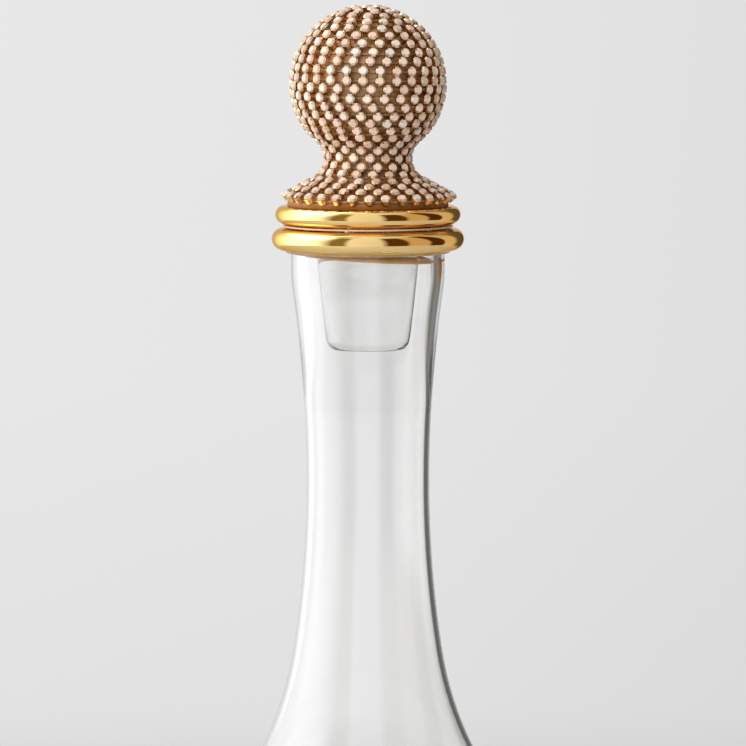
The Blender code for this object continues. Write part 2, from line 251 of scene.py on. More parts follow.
upwards = ramp(tree, spread(tree, ray_z, WALL_SPAN), WALL_HEIGHTS)
across = ramp(tree, spread(tree, ray_x, (-WALL_REACH, WALL_REACH)), WALL_WIDTHS)
wall = put(tree, "ShaderNodeVectorMath", {0: upwards, 1: across}, operation="MULTIPLY").outputs[0]
path = put(tree, "ShaderNodeLightPath").outputs
gathered = spread(tree, ray_z, GATHERED_SPAN, GATHERED_GAIN)
wall = scaled(tree, wall, spread(tree, path["Is Transmission Ray"], (0.0, 1.0), (1.0, gathered)))
print("wall nodes:", len(tree.nodes))


# %% [markdown]
# Last, the kind of a ray says what it meets. Matt surfaces get one even level, and mirrored
# rays the studio. Rays that have been inside the glass see the studio in greys, so that clear
# glass stays neutral.

# %% World
AMBIENT = 0.52
ANY = 0.5  # a depth is a whole number, so over a half means one or more

seen = maths(tree, "MAXIMUM", path["Is Camera Ray"], path["Is Transmission Ray"])
shown = mixed(tree, seen, (AMBIENT, AMBIENT, AMBIENT, 1.0), wall)
inside_glass = maths(tree, "GREATER_THAN", path["Transmission Depth"], ANY)
grey = put(tree, "ShaderNodeRGBToBW", {"Color": studio}).outputs["Val"]
studio = mixed(tree, inside_glass, studio, grey)
mirrored = maths(tree, "GREATER_THAN", path["Glossy Depth"], ANY)
not_matt = maths(tree, "SUBTRACT", 1.0, path["Is Diffuse Ray"])
shown = mixed(tree, maths(tree, "MULTIPLY", mirrored, not_matt), shown, studio)
light = put(tree, "ShaderNodeBackground", {"Color": shown, "Strength": 1.0})
put(tree, "ShaderNodeOutputWorld", {"Surface": light.outputs[0]})
print("world nodes:", len(tree.nodes))


# %% [markdown]
# Matt surfaces need a lamp for their modelling: the crystals are brighter on the left. One
# large area lamp stands where the soft light is. The mirrors already see that light in the
# world, so the lamp itself is hidden from them.

# %% Key lamp
KEY_PLACE = Vector((-0.85, -1.15, 0.70))
KEY_AIM = Vector((0.0, 0.0, 0.2))
KEY_SIZE = 0.8
KEY_POWER = 18.5

lamp_data = bpy.data.lights.new("key_softbox", "AREA")
lamp_data.shape = "SQUARE"
lamp_data.size = KEY_SIZE
lamp_data.energy = KEY_POWER
lamp = bpy.data.objects.new("key_softbox", lamp_data)
scene.collection.objects.link(lamp)
lamp.location = KEY_PLACE
lamp.rotation_euler = (KEY_PLACE - KEY_AIM).to_track_quat("Z", "Y").to_euler()
lamp.visible_camera = False
lamp.visible_glossy = False
lamp.visible_transmission = False
print(f"key lamp {(KEY_PLACE - KEY_AIM).length:.2f} m away")


# %% [markdown]
# Every new mesh is made in the same way: it is drawn as a bmesh, stored under its name, given
# its material and put into the scene.

# %% Object helper
def made(name, bm, material):
    """Object of a finished bmesh, which is freed, with its material and in the scene."""
    mesh = bpy.data.meshes.new(name)
    bm.to_mesh(mesh)
    bm.free()
    mesh.materials.append(material)
    piece = bpy.data.objects.new(name, mesh)
    scene.collection.objects.link(piece)
    return piece


# %% [markdown]
# The decanter stands on a plain pale floor. A square floor would show its edges from some
# sides, so this one is a disc whose colour fades out into the wall.

# %% Floor
FLOOR_RADIUS = 0.85
FLOOR_FADE_START = 0.32
FLOOR_GAP = 0.0003
FLOOR_TONES = [(0.3, (0.76, 0.76, 0.75)), (0.7, (0.79, 0.79, 0.785))]
FLOOR_ROUGHNESS = 0.75
FLOOR_SHEEN = 0.2

paint = bpy.data.materials.new("pale_floor")
paint.use_nodes = True
tree = paint.node_tree
shader = tree.nodes["Principled BSDF"]
place = put(tree, "ShaderNodeTexCoord").outputs["Object"]
distance = put(tree, "ShaderNodeVectorMath", {0: place}, operation="LENGTH").outputs["Value"]
fade = spread(tree, distance, (FLOOR_FADE_START, FLOOR_RADIUS), (1.0, 0.0), "SMOOTHSTEP")
colour = ramp(tree, noise(tree, place, scale=9.0, detail=5.0), FLOOR_TONES)
tree.links.new(colour, shader.inputs["Base Color"])
tree.links.new(fade, shader.inputs["Alpha"])
shader.inputs["Roughness"].default_value = FLOOR_ROUGHNESS
shader.inputs["Specular IOR Level"].default_value = FLOOR_SHEEN

bm = bmesh.new()
bmesh.ops.create_circle(bm, cap_ends=True, segments=96, radius=FLOOR_RADIUS)
bmesh.ops.translate(bm, verts=bm.verts, vec=(0.0, 0.0, -FLOOR_GAP))
floor = made("floor", bm, paint)
print("floor radius", FLOOR_RADIUS)


# %% [markdown]
# ## Finishes
# Two effects are used by more than one finish, so each is a shader node group. The first is
# handling: polished things carry faint smudges and hairlines, which show as changes of
# roughness and as a very low relief.

# %% Shader group: handling marks
FLOAT, COLOUR, VECTOR = "NodeSocketFloat", "NodeSocketColor", "NodeSocketVector"
SMUDGE_SPAN = (0.46, 0.72)
HAIRLINE_STRETCH = (1.0, 1.0, 14.0)


def new_group(name, inputs, outputs):
    """New node group; returns it with the sockets that it is given and those of its result."""
    group = bpy.data.node_groups.new(name, "ShaderNodeTree")
    for label, kind, value in inputs:
        socket = group.interface.new_socket(label, in_out="INPUT", socket_type=kind)
        if value is not None:
            socket.default_value = value
    for label, kind in outputs:
        group.interface.new_socket(label, in_out="OUTPUT", socket_type=kind)
    given, result = group.nodes.new("NodeGroupInput"), group.nodes.new("NodeGroupOutput")
    return group, given.outputs, result.inputs


handling_marks, given, result = new_group(
    "handling_marks",
    [("Place", VECTOR, None), ("Scale", FLOAT, 60.0), ("Polished", FLOAT, 0.03),
     ("Smudged", FLOAT, 0.10)],
    [("Roughness", FLOAT), ("Height", FLOAT)],
)
cloud = noise(handling_marks, given["Place"], given["Scale"], detail=6.0, roughness=0.62)
smudge = spread(handling_marks, cloud, SMUDGE_SPAN, (given["Polished"], given["Smudged"]),
                "SMOOTHSTEP")
stretched = put(handling_marks, "ShaderNodeMapping", {
    "Vector": given["Place"], "Scale": HAIRLINE_STRETCH}).outputs[0]
hairline = noise(handling_marks, stretched, given["Scale"], detail=3.0)
handling_marks.links.new(smudge, result["Roughness"])
handling_marks.links.new(maths(handling_marks, "ADD", cloud, hairline), result["Height"])
print("group:", handling_marks.name)


# %% [markdown]
# The second effect is tone: plating and cast metal are never one colour. A slow cloud and a
# fine one mix a clean colour with a deeper one.

# %% Shader group: tone
FINER = 7.0
FINE_SHARE = 0.35
TONE_SPAN = (0.36, 0.64)

tone, given, result = new_group(
    "tone",
    [("Place", VECTOR, None), ("Scale", FLOAT, 120.0), ("Clean", COLOUR, None),
     ("Deep", COLOUR, None), ("Share", FLOAT, 0.5)],
    [("Colour", COLOUR)],
)
fine_scale = maths(tone, "MULTIPLY", given["Scale"], FINER)
slow = noise(tone, given["Place"], given["Scale"], detail=4.0)
fine = noise(tone, given["Place"], fine_scale, detail=3.0)
both = put(tone, "ShaderNodeMix", {"Factor": FINE_SHARE, 2: slow, 3: fine}).outputs[0]
sharpened = spread(tone, both, TONE_SPAN, easing="SMOOTHSTEP")
mask = maths(tone, "MULTIPLY", sharpened, given["Share"])
tone.links.new(mixed(tone, mask, given["Clean"], given["Deep"]), result["Colour"])
print("group:", tone.name)


# %% [markdown]
# A finish then needs little more than its own values. These helpers start a material, place
# the two groups in it and lead the relief through a Bump node to the shader's normal.

# %% Finish helpers
def start_finish(name):
    """New material, with its node tree, its shader and the place on the object."""
    material = bpy.data.materials.new(name)
    material.use_nodes = True
    tree = material.node_tree
    place = put(tree, "ShaderNodeTexCoord").outputs["Object"]
    return material, tree, tree.nodes["Principled BSDF"], place


def add_tone(tree, shader, place, scale, clean, deep, share=1.0):
    """Let the base colour drift between a clean and a deep colour."""
    drift = put(tree, "ShaderNodeGroup", {"Place": place, "Scale": scale, "Clean": (*clean, 1.0),
                                          "Deep": (*deep, 1.0), "Share": share}, node_tree=tone)
    tree.links.new(drift.outputs["Colour"], shader.inputs["Base Color"])


def add_marks(tree, shader, place, scale, polished, smudged):
    """Let the roughness change with smudges; returns the height of the marks."""
    marks = put(tree, "ShaderNodeGroup", {"Place": place, "Scale": scale, "Polished": polished,
                                          "Smudged": smudged}, node_tree=handling_marks)
    tree.links.new(marks.outputs["Roughness"], shader.inputs["Roughness"])
    return marks.outputs["Height"]


def emboss(tree, shader, height, depth):
    """Relief from a height; depth is how many metres a height of 1 stands out."""
    bump = put(tree, "ShaderNodeBump", {"Height": height, "Distance": depth})
    tree.links.new(bump.outputs[0], shader.inputs["Normal"])


def solid_finish(name, clean, deep, tone_scale, marks_scale, share, polished, smudged, depth):
    """Finish with a drifting tone, smudges and a relief; returns its material and shader."""
    material, tree, shader, place = start_finish(name)
    add_tone(tree, shader, place, tone_scale, clean, deep, share)
    emboss(tree, shader, add_marks(tree, shader, place, marks_scale, polished, smudged), depth)
    return material, shader


def metal_finish(name, clean, deep, scale, share, polished, smudged, depth, bare=1.0):
    """Solid finish of metal; bare is the share of it that has no lacquer."""
    material, shader = solid_finish(
        name, clean, deep, scale, scale, share, polished, smudged, depth)
    shader.inputs["Metallic"].default_value = bare
    return material


# %% [markdown]
# The rings are gold plated and polished, the cups of the chain are stamped from gilt brass, and
# the screw is steel. The finial is cast and lacquered in antique gold, and the lacquer leaves it
# only partly metallic. All are one recipe.

# %% Metal finishes
EDGE_TINT = (0.78, 0.58, 0.36, 1.0)
# The next three values paint shade at the skirt's foot: its colour, how high it reaches and its
# share.
SKIRT_FOOT_SHADE = (0.26, 0.082, 0.006, 1.0)
SKIRT_SHADE_HEIGHT = 2.1 * MM
SKIRT_SHADE_SHARE = 0.95

polished_gold = metal_finish(
    "polished_gold", clean=(0.97, 0.71, 0.30), deep=(0.95, 0.65, 0.25), scale=90.0, share=0.6,
    polished=0.035, smudged=0.085, depth=0.000004)
antique_gold = metal_finish(
    "antique_gold", clean=(0.56, 0.33, 0.152), deep=(0.38, 0.192, 0.082), scale=260.0, share=0.9,
    polished=0.42, smudged=0.62, depth=0.00003, bare=0.45)
gilt_brass = metal_finish(
    "gilt_brass", clean=(0.88, 0.64, 0.38), deep=(0.62, 0.385, 0.20), scale=500.0, share=0.7,
    polished=0.20, smudged=0.38, depth=0.00001)
screw_steel = metal_finish(
    "screw_steel", clean=(0.62, 0.61, 0.58), deep=(0.45, 0.44, 0.42), scale=400.0, share=0.7,
    polished=0.20, smudged=0.38, depth=0.00001)

# Plated gold keeps its colour at a grazing angle.
polished_gold.node_tree.nodes["Principled BSDF"].inputs["Specular Tint"].default_value = EDGE_TINT

# Shade is painted where the skirt meets the ring: the antique gold is darkest there, as shade falls
# between the two parts.
tree = antique_gold.node_tree
shader = tree.nodes["Principled BSDF"]
cast_colour = shader.inputs["Base Color"].links[0].from_socket
place = put(tree, "ShaderNodeTexCoord").outputs["Object"]
level = put(tree, "ShaderNodeSeparateXYZ", {0: place}).outputs["Z"]
skirt_shade_span = (foot("finial_core"), foot("finial_core") + SKIRT_SHADE_HEIGHT)
skirt_shade = spread(tree, level, skirt_shade_span, (SKIRT_SHADE_SHARE, 0.0), "SMOOTHSTEP")
tree.links.new(mixed(tree, skirt_shade, cast_colour, SKIRT_FOOT_SHADE), shader.inputs["Base Color"])
print("metal finishes:", [m.name for m in (polished_gold, antique_gold, gilt_brass, screw_steel)])


# %% [markdown]
# Blown glass is clear, with slow waves along the neck where it was drawn. It is a Principled
# shader with full transmission. A lamp's light can't be traced through curved glass quickly,
# so for shadow rays alone the glass turns nearly transparent, and the floor gets a light shadow.

# %% Glass finishes
GLASS_IOR = 1.5
DEEPER_TINT = (0.99, 1.0, 0.995)
WAVE_STRETCH = (1.0, 1.0, 0.16)
WAVE_DEPTH = 0.00002


def glass_finish(name, tint, shadow, smudged):
    """Clear glass of a faint tint; shadow is the share of lamp light that it lets through."""
    material, tree, shader, place = start_finish(name)
    add_marks(tree, shader, place, scale=34.0, polished=0.0, smudged=smudged)
    deeper = tuple(part * share for part, share in zip(tint, DEEPER_TINT))
    add_tone(tree, shader, place, scale=12.0, clean=tint, deep=deeper)
    drawn = put(tree, "ShaderNodeMapping", {"Vector": place, "Scale": WAVE_STRETCH}).outputs[0]
    emboss(tree, shader, noise(tree, drawn, scale=85.0, detail=1.0), WAVE_DEPTH)
    shader.inputs["Transmission Weight"].default_value = 1.0
    shader.inputs["IOR"].default_value = GLASS_IOR
    clear = put(tree, "ShaderNodeBsdfTransparent", {"Color": (shadow, shadow, shadow, 1.0)})
    path = put(tree, "ShaderNodeLightPath")
    both = put(tree, "ShaderNodeMixShader", {
        0: path.outputs["Is Shadow Ray"], 1: shader.outputs[0], 2: clear.outputs[0]})
    tree.links.new(both.outputs[0], tree.nodes["Material Output"].inputs["Surface"])
    return material


clear_glass = glass_finish(
    "clear_glass", tint=(0.99, 0.99, 0.988), shadow=0.93, smudged=0.012)
plug_glass = glass_finish(
    "plug_glass", tint=(0.978, 0.978, 0.975), shadow=0.9, smudged=0.02)
print("glass finishes:", clear_glass.name, plug_glass.name)


# %% [markdown]
# ## Turned pieces
# A turned piece starts as its outline: half of its section, drawn as points (radius, height).
# Outlines here are chains of arcs that run into each other without a kink, as a lathe or a
# glassblower's hand makes them, so the arcs carry their lean from one to the next.

# %% Outline helpers
def swing(start, lean, radius, steps):
    """Points (r, z, lean) of an arc that goes on from start until it leans by lean."""
    r0, z0, lean0 = start
    way = 1 if lean > lean0 else -1
    points = []
    for step in range(1, steps + 1):
        t = lean0 + (lean - lean0) * step / steps
        r = r0 - way * radius * (math.cos(lean0) - math.cos(t))
        z = z0 + way * radius * (math.sin(t) - math.sin(lean0))
        points.append((r, z, t))
    return points


def quarter(low, high, steps):
    """Quarter ellipse from low, where it lies flat, to high, where it stands upright."""
    width, rise = high[0] - low[0], high[1] - low[1]
    angles = [math.pi / 2 * step / steps for step in range(steps + 1)]
    return [(low[0] + width * math.sin(a), high[1] - rise * math.cos(a)) for a in angles]


def corner(middle, radius, first, last, steps):
    """Arc round middle from the first to the last angle in degrees, 0 outwards and 90 up."""
    angles = [math.radians(first + (last - first) * step / steps) for step in range(steps + 1)]
    return [(middle[0] + radius * math.cos(a), middle[1] + radius * math.sin(a)) for a in angles]


# %% [markdown]
# Blender's spin operator turns the outline round the axis. Points on the axis fall together and
# are merged, and the normals are set outwards after that. Smooth shading would blur the real
# edges, so edges over an angle stay sharp.

# %% Turning helper
TURNS = 192
SHARP_ANGLE = math.radians(30)
SAME_POINT = 1e-7


def turned(name, outline, closed, material, body, node=None, steps=TURNS):
    """Object of an outline spun round Z. It rides on a body and can replace a CAD node."""
    bm = bmesh.new()
    points = [bm.verts.new((r, 0.0, z)) for r, z in outline]
    edges = [bm.edges.new(pair) for pair in zip(points, points[1:])]
    if closed:
        edges.append(bm.edges.new((points[-1], points[0])))
    bmesh.ops.spin(bm, geom=points + edges, cent=(0, 0, 0), axis=(0, 0, 1),
                   angle=2 * math.pi, steps=steps, use_merge=True)
    bmesh.ops.remove_doubles(bm, verts=bm.verts, dist=SAME_POINT)
    bmesh.ops.recalc_face_normals(bm, faces=bm.faces)
    piece = made(name, bm, material)
    mesh = piece.data
    mesh.shade_smooth()
    mesh.set_sharp_from_angle(angle=SHARP_ANGLE)
    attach(piece, body)
    if node:
        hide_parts(node)
    print(f"{name}: {len(mesh.polygons)} faces, {len(outline)} points in its outline")
    return piece


# %% [markdown]
# ## The bottle
# The neck is slimmest nearly three quarters of the way up the bottle and flares to a thick
# lip. Going down, it opens slowly and then swings out over a shoulder to the belly. The wall
# is even and thickens to the lip. The inner outline is the outer one moved in along its own
# normal.

# %% Bottle outlines
BELLY_HEIGHT = 34.0 * MM
SHOULDER_LEAN = math.radians(52)
SHOULDER_ARC = 86.0 * MM
ROOT_LEAN = math.radians(9)
ROOT_ARC = 277.0 * MM
NECK_RADIUS = 15.7 * MM
FLARE_ARC = 340.0 * MM
LIP_ARC = 40.0 * MM
LIP_RADIUS = 19.6 * MM
WALL = 1.42 * MM
LIP_WALL = 3.3 * MM
THICKENS = (186.0 * MM, 210.0 * MM)
RIM_ROUND = 1.2 * MM
LIP_ROWS = 12

belly_radius = reach("glass_bottle")
rim = head("glass_bottle")
fall = belly_radius - NECK_RADIUS
fall -= SHOULDER_ARC * (math.cos(ROOT_LEAN) - math.cos(SHOULDER_LEAN))
fall -= ROOT_ARC * (1 - math.cos(ROOT_LEAN))
belly_arc = fall / (1 - math.cos(SHOULDER_LEAN))
flare_lean = -math.acos(1 - (LIP_RADIUS - NECK_RADIUS) / (FLARE_ARC + LIP_ARC))
outside = [(belly_radius, BELLY_HEIGHT, 0.0)]
outside += swing(outside[-1], SHOULDER_LEAN, belly_arc, steps=16)
outside += swing(outside[-1], ROOT_LEAN, SHOULDER_ARC, steps=20)
outside += swing(outside[-1], 0.0, ROOT_ARC, steps=14)
waist_height = outside[-1][1]
outside += swing(outside[-1], flare_lean, FLARE_ARC, steps=20)
outside += swing(outside[-1], 0.0, LIP_ARC, steps=8)
flare_top = outside[-1][1]
lip_top = rim - RIM_ROUND
outside += [(LIP_RADIUS, flare_top + (lip_top - flare_top) * k / LIP_ROWS, 0.0)
            for k in range(1, LIP_ROWS + 1)]

inside = []
for r, z, lean in outside:
    share = min(max((z - THICKENS[0]) / (THICKENS[1] - THICKENS[0]), 0.0), 1.0)
    thickness = WALL + (LIP_WALL - WALL) * share * share * (3 - 2 * share)
    inside.append((r - thickness * math.cos(lean), z - thickness * math.sin(lean)))
print(f"neck is slimmest at {waist_height / MM:.1f} mm, the flare ends at {flare_top / MM:.1f} mm")


# %% [markdown]
# Below the belly, a quarter ellipse runs to a flat foot with a shallow hollow in it, and the
# glass is thick there, as it is in a real decanter. The rim is fire polished, so it is round.

# %% Bottle
FOOT_RADIUS = 44.0 * MM
PUNT_RADIUS = 30.0 * MM
PUNT_DEPTH = 2.5 * MM
PUNT_ROWS = 12
BASE_THICKNESS = 7.5 * MM
FLOOR_CORNER = 34.0 * MM
HEEL_ROWS = 28

punt = [(PUNT_RADIUS * k / PUNT_ROWS, PUNT_DEPTH * (1 - (k / PUNT_ROWS) ** 2))
        for k in range(PUNT_ROWS + 1)]
heel = quarter((FOOT_RADIUS, 0.0), (belly_radius, BELLY_HEIGHT), HEEL_ROWS)
outer = [(r, z) for r, z, _ in outside[1:-1]]
bore = LIP_RADIUS - LIP_WALL
rim_round = corner((LIP_RADIUS - RIM_ROUND, lip_top), RIM_ROUND, 0, 90, steps=6)
rim_round += corner((bore + RIM_ROUND, lip_top), RIM_ROUND, 90, 180, steps=6)
inner = inside[-2:0:-1]
bowl = quarter((FLOOR_CORNER, BASE_THICKNESS), (belly_radius - WALL, BELLY_HEIGHT), HEEL_ROWS)
bottle_outline = punt + heel + outer + rim_round + inner + bowl[::-1] + [(0.0, BASE_THICKNESS)]
turned("bottle", bottle_outline, False, clear_glass, "bottle", "glass_bottle")


# %% [markdown]
# ## The two gold rings
# The collar is cemented over the lip. Its outer edge is a full half round, and a thin flange
# covers the rim. The stopper's ring is the same idea, a little smaller. Small roundings at the
# inner corners catch the light as the edges of turned metal do.

# %% Collar
COLLAR_SOCKET = 19.9 * MM
COLLAR_BORE = 15.9 * MM
FLANGE = 1.4 * MM
EDGE = 0.25 * MM


def half_round(node, steps):
    """Outer edge of a ring as a half circle between the node's foot and head."""
    bulge = (head(node) - foot(node)) / 2
    return corner((reach(node) - bulge, foot(node) + bulge), bulge, -90, 90, steps)


low, high = foot("neck_collar"), head("neck_collar")
collar_outline = half_round("neck_collar", steps=40)
collar_outline += corner((COLLAR_BORE + EDGE, high - EDGE), EDGE, 90, 180, steps=4)
collar_outline += [(COLLAR_BORE, high - FLANGE), (COLLAR_SOCKET, high - FLANGE)]
collar_outline += corner((COLLAR_SOCKET + EDGE, low + EDGE), EDGE, 180, 270, steps=4)
turned("collar", collar_outline, True, polished_gold, "bottle", "neck_collar")


# %% [markdown]
# ## The cement
# The collar is set in a warm brown cement, which looks amber where it is thin. It is dull, and
# it is never one tone.

# %% Cement finishes
def cement_finish(name, clean, deep):
    """Dull finish that drifts between two tones."""
    return solid_finish(name, clean, deep, tone_scale=250.0, marks_scale=400.0, share=1.0,
                        polished=0.38, smudged=0.60, depth=0.00002)[0]


brown_cement = cement_finish("brown_cement", (0.72, 0.40, 0.19), (0.52, 0.27, 0.11))
amber_cement = cement_finish("amber_cement", (0.93, 0.52, 0.20), (0.76, 0.38, 0.12))
print("cement finishes:", brown_cement.name, amber_cement.name)


# %% [markdown]
# A thin bead of cement shows under the collar, where it was pressed out against the glass. A
# second line of it runs round inside the mouth and is seen through the glass. It was poured by
# hand, so it dips on the right.

# %% Cement bead and line
BEAD_RADIUS = 20.4 * MM
BEAD_ROUND = 0.8 * MM
BEAD_RISE = 0.10 * MM
LINE_RADIUS = 16.1 * MM
LINE_HALF_HEIGHT = 0.5 * MM
LINE_FLATNESS = 0.6
LINE_DROP = 1.7 * MM
LINE_TILT = math.radians(3.5)


def cord(radius, height, half_height):
    """Outline of a round cord that lies in a circle round the axis."""
    return corner((radius, height), half_height, 0, 360, steps=12)[:-1]


bead_outline = cord(BEAD_RADIUS, foot("neck_collar") + BEAD_RISE, BEAD_ROUND)
turned("cement_bead", bead_outline, True, brown_cement, "bottle")
line_height = foot("neck_collar") - LINE_DROP
line_outline = [(LINE_RADIUS + (r - LINE_RADIUS) * LINE_FLATNESS, z)
                for r, z in cord(LINE_RADIUS, line_height, LINE_HALF_HEIGHT)]
line = turned("cement_line", line_outline, True, amber_cement, "bottle")
lifted = Matrix.Translation((0.0, 0.0, line_height))
line.data.transform(lifted @ Matrix.Rotation(LINE_TILT, 4, "Y") @ lifted.inverted())


# %% [markdown]
# A short run of the cement has set on the wall, below the line and on the right. It starts as
# a ball, which is flattened, drawn out to a narrow tip and bent round the bore. Half of its
# depth lies in the glass, or the bore would mirror it away. It joins the line's mesh, with
# the brown cement on its faces.

# %% Run of cement
RUN_PLACE = math.radians(78)
RUN_HALF_WIDTH = 2.3 * MM
RUN_HALF_DEPTH = 0.25 * MM
RUN_HALF_LENGTH = 3.6 * MM
RUN_TIP = 0.35

bm = bmesh.new()
bm.from_mesh(line.data)
run = bmesh.ops.create_uvsphere(bm, u_segments=20, v_segments=16, radius=1.0)["verts"]
for v in run:
    share = RUN_TIP + (1 - RUN_TIP) * (v.co.z + 1) / 2
    r = bore - v.co.y * RUN_HALF_DEPTH * share
    angle = RUN_PLACE + v.co.x * RUN_HALF_WIDTH * share / bore
    z = line_height + (v.co.z - 1) * RUN_HALF_LENGTH
    v.co = (r * math.sin(angle), -r * math.cos(angle), z)
line.data.materials.append(brown_cement)
run_verts = set(run)
for f in bm.faces:
    f.smooth = True
    f.material_index = int(f.verts[0] in run_verts)
bm.to_mesh(line.data)
bm.free()
print("cement line has", len(line.data.polygons), "faces")


# %% [markdown]
# The stopper's ring has a recess below that takes the plug, and a web above it with a hole for
# the screw.

# %% Stopper ring
RECESS = 15.94 * MM
WEB = 2.3 * MM
SCREW_HOLE = 2.3 * MM

low, high = foot("base_ring"), head("base_ring")
ring_outline = half_round("base_ring", steps=36)
ring_outline += [(SCREW_HOLE, high), (SCREW_HOLE, high - WEB), (RECESS, high - WEB)]
ring_outline += corner((RECESS + EDGE, low + EDGE), EDGE, 180, 270, steps=4)
turned("stopper_ring", ring_outline, True, polished_gold, "stopper", "base_ring")


# %% [markdown]
# ## The seal
# A thin clear ring keeps metal from grinding on metal. It is moulded, so its edges are round,
# and it is satin rather than polished. Its copper colour is painted reflection of the gold rings
# round it.

# %% Seal
SEAL_BORE = 17.0 * MM
SEAL_CLEARNESS = 0.15
SEAL_IOR = 1.41

# The copper base colour is painted reflection: the gold light that the clear ring takes from the
# rings.
clear_silicone, shader = solid_finish(
    "clear_silicone", clean=(0.95, 0.60, 0.42), deep=(0.90, 0.53, 0.35), tone_scale=200.0,
    marks_scale=300.0, share=1.0, polished=0.22, smudged=0.40, depth=0.000002)
shader.inputs["Transmission Weight"].default_value = SEAL_CLEARNESS
shader.inputs["IOR"].default_value = SEAL_IOR

half = (head("seal_ring") - foot("seal_ring")) / 2
seal_outline = half_round("seal_ring", steps=8)
seal_outline += corner((SEAL_BORE + half, foot("seal_ring") + half), half, 90, 270, steps=8)[:-1]
turned("seal", seal_outline, True, clear_silicone, "seal", "seal_ring")


# %% [markdown]
# ## The plug
# A tapered glass plug hangs into the mouth and keeps the stopper upright. Its tip is flat with
# a rounded edge. Its head is cemented into the ring, and a pocket leaves room for the screw.

# %% Plug
TIP_RADIUS = 10.55 * MM
TIP_ROUND = 3.0 * MM
TIP_SAG = 0.35 * MM
PLUG_SIDE = [  # radius and height in mm, up to the ring
    (10.9, 207.0), (11.55, 212.0), (12.1, 217.0), (12.7, 222.5), (13.0, 226.5), (13.4, 231.0),
]
POCKET_RADIUS = 4.4 * MM
POCKET_FLOOR = 231.94 * MM

tip, top, plug_radius = foot("glass_plug") - TIP_SAG, head("glass_plug"), reach("glass_plug")
plug_outline = [(0.0, tip)]
plug_outline += corner((TIP_RADIUS - TIP_ROUND, tip + TIP_ROUND), TIP_ROUND, -90, -8, steps=16)
plug_outline += [(r * MM, z * MM) for r, z in PLUG_SIDE]
plug_outline += [(plug_radius, foot("base_ring")), (plug_radius, top), (POCKET_RADIUS, top),
                 (POCKET_RADIUS, POCKET_FLOOR), (0.0, POCKET_FLOOR)]
turned("plug", plug_outline, False, plug_glass, "stopper", "glass_plug")


# %% [markdown]
# ## Screw and washer
# These keep their CAD meshes, because little of them can be seen through the plug.

# %% Small steel parts
for node in ("finial_screw", "lock_washer"):
    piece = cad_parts[node]
    piece.data.materials.clear()
    piece.data.materials.append(screw_steel)
    print(node, "has", screw_steel.name)


# %% [markdown]
# ## The finial's core
# Under the crystals is a cast ball that runs through a slim waist into a sloping skirt. The
# arcs join smoothly. The same outline, moved outwards, is the track that the chain lies on.

# %% Finial outline
BALL_RADIUS = 17.7 * MM
NAPE_ARC = 7.6 * MM
WAIST_RADIUS = 9.0 * MM
SKIRT_ARC = 7.4 * MM
SKIRT_LEAN = math.radians(62)
EDGE_ROUND = 0.5 * MM
EDGE_LAND = 1.06 * MM
CROWN_RADIUS = 1.5 * MM
SETTLED = 0.26 * MM
SKIRT_SWELL = 0.5 * MM

core_foot = foot("finial_core") - SETTLED
skirt_radius = reach("finial_core") + SKIRT_SWELL


def finial_outline(stand_off, ball_steps, arc_steps):
    """Outline (r, z, lean) from the skirt's edge to the ball's top, moved out by stand_off."""
    drop = 1 - math.cos(SKIRT_LEAN)
    slope_width = skirt_radius - WAIST_RADIUS - (EDGE_ROUND + SKIRT_ARC) * drop
    slope_height = slope_width / math.tan(SKIRT_LEAN)
    nape_lean = -math.acos((WAIST_RADIUS + NAPE_ARC) / (BALL_RADIUS + NAPE_ARC))
    edge = skirt_radius + stand_off
    points = [(edge, core_foot, 0.0), (edge, core_foot + EDGE_LAND, 0.0)]
    points += swing(points[-1], SKIRT_LEAN, EDGE_ROUND + stand_off, arc_steps)
    r, z, slope = points[-1]
    points.append((r - slope_width, z + slope_height, slope))
    points += swing(points[-1], 0.0, SKIRT_ARC - stand_off, arc_steps)
    points += swing(points[-1], nape_lean, NAPE_ARC - stand_off, arc_steps)
    points += swing(points[-1], math.pi / 2, BALL_RADIUS + stand_off, ball_steps)
    return points


core_profile = finial_outline(0.0, ball_steps=48, arc_steps=14)
core_top = core_profile[-1][1]
ball_height = core_top - BALL_RADIUS
print(f"ball's middle is at {ball_height / MM:.2f} mm, its top at {core_top / MM:.2f} mm")


# %% [markdown]
# The core is turned like the rest, with a drilled hole below for the screw. It ends in a low
# stud at the crown, on which the first crystal sits.

# %% Finial core
HOLE_RADIUS = 2.3 * MM
HOLE_TOP = 250.04 * MM
STUD_RISE = 0.3 * MM

core_skin = [(r, z) for r, z, _ in core_profile if r > CROWN_RADIUS or z < ball_height]
stud_top = core_top + STUD_RISE
core_outline = [(0.0, HOLE_TOP), (HOLE_RADIUS, HOLE_TOP), (HOLE_RADIUS, core_foot)] + core_skin
core_outline += corner((CROWN_RADIUS - EDGE, stud_top - EDGE), EDGE, 0, 90, steps=3)
core_outline.append((0.0, stud_top))
turned("finial_core_cast", core_outline, False, antique_gold, "stopper", "finial_core",
       steps=128)


# %% [markdown]
# ## The crystal chain
# The chain is bought by the metre: small faceted stones, each in a cup with four claws, joined
# by short links. It is wound in one long spiral from the crown down to the skirt and glued.
# Stones of one loop don't line up with those of the next, which gives the ball its woven look.
# The track is the core's outline, moved out to the stones' girdles.

